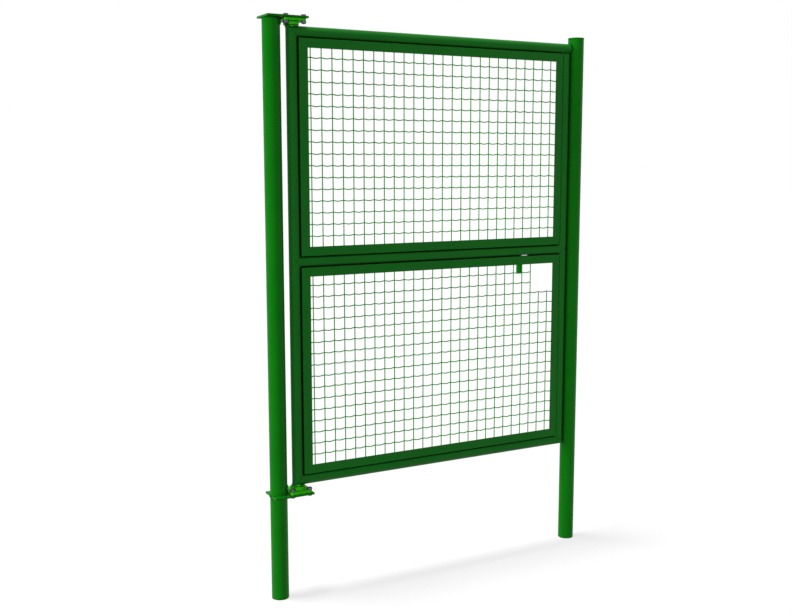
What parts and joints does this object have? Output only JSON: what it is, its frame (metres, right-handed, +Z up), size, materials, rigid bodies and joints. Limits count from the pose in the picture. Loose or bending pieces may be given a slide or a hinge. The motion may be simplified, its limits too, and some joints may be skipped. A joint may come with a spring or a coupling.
{
  "type": "single swing gate",
  "caption": "Single swing gate: a round-tube leaf with two angle frames of wire mesh, on flange bearings between two round posts, with a sliding bolt.",
  "frame": {"origin": "centre of the hinge post's foot face", "axes": "+X from the hinge post towards the latch post, +Y to the back of the gate, +Z up along the posts"},
  "size_m": [1.6558, 0.12, 2.508],
  "materials": {
    "post_paint": "satin green paint on steel tube",
    "leaf_paint": "satin green paint on steel tube and angle",
    "mesh_paint": "green coated steel wire",
    "bearing_paint": "bright green paint on cast housings",
    "handle_paint": "satin green paint on a tube handle",
    "pin_steel": "turned steel",
    "bolt_steel": "zinc plated round bar"
  },
  "bodies": {
    "posts": {"hinge_post": "post_paint", "hinge_post_foot": "post_paint", "latch_post": "post_paint", "latch_post_foot": "post_paint", "latch_post_cap": "post_paint", "top_hinge_plate": "post_paint", "bottom_hinge_plate": "post_paint", "top_bearing": "bearing_paint", "bottom_bearing": "bearing_paint"},
    "leaf": {"hinge_stile": "leaf_paint", "latch_stile": "leaf_paint", "top_rail": "leaf_paint", "middle_rail": "leaf_paint", "bottom_rail": "leaf_paint", "top_rail_end_cap": "leaf_paint", "upper_frame_left": "leaf_paint", "upper_frame_right": "leaf_paint", "upper_frame_top": "leaf_paint", "upper_frame_bottom": "leaf_paint", "lower_frame_left": "leaf_paint", "lower_frame_right": "leaf_paint", "lower_frame_top": "leaf_paint", "lower_frame_bottom": "leaf_paint", "upper_mesh_left": "mesh_paint", "upper_mesh_right": "mesh_paint", "lower_mesh_left": "mesh_paint", "lower_mesh_middle": "mesh_paint", "lower_mesh_right": "mesh_paint", "top_pin": "pin_steel", "bottom_pin": "pin_steel", "bolt_guide": "pin_steel"},
    "bolt": {"bolt_rod": "bolt_steel", "bolt_handle": "handle_paint"}
  },
  "joints": [
    {"name": "leaf_hinge", "type": "hinge", "parent": "posts", "child": "leaf", "pos_m": [0.09, 0, 0.5], "axis": [0, 0, 1], "range_deg": [-120, 120]},
    {"name": "bolt_slide", "type": "slide", "parent": "leaf", "child": "bolt", "axis": [1, 0, 0], "range_m": [0, 0.04]}
  ]
}
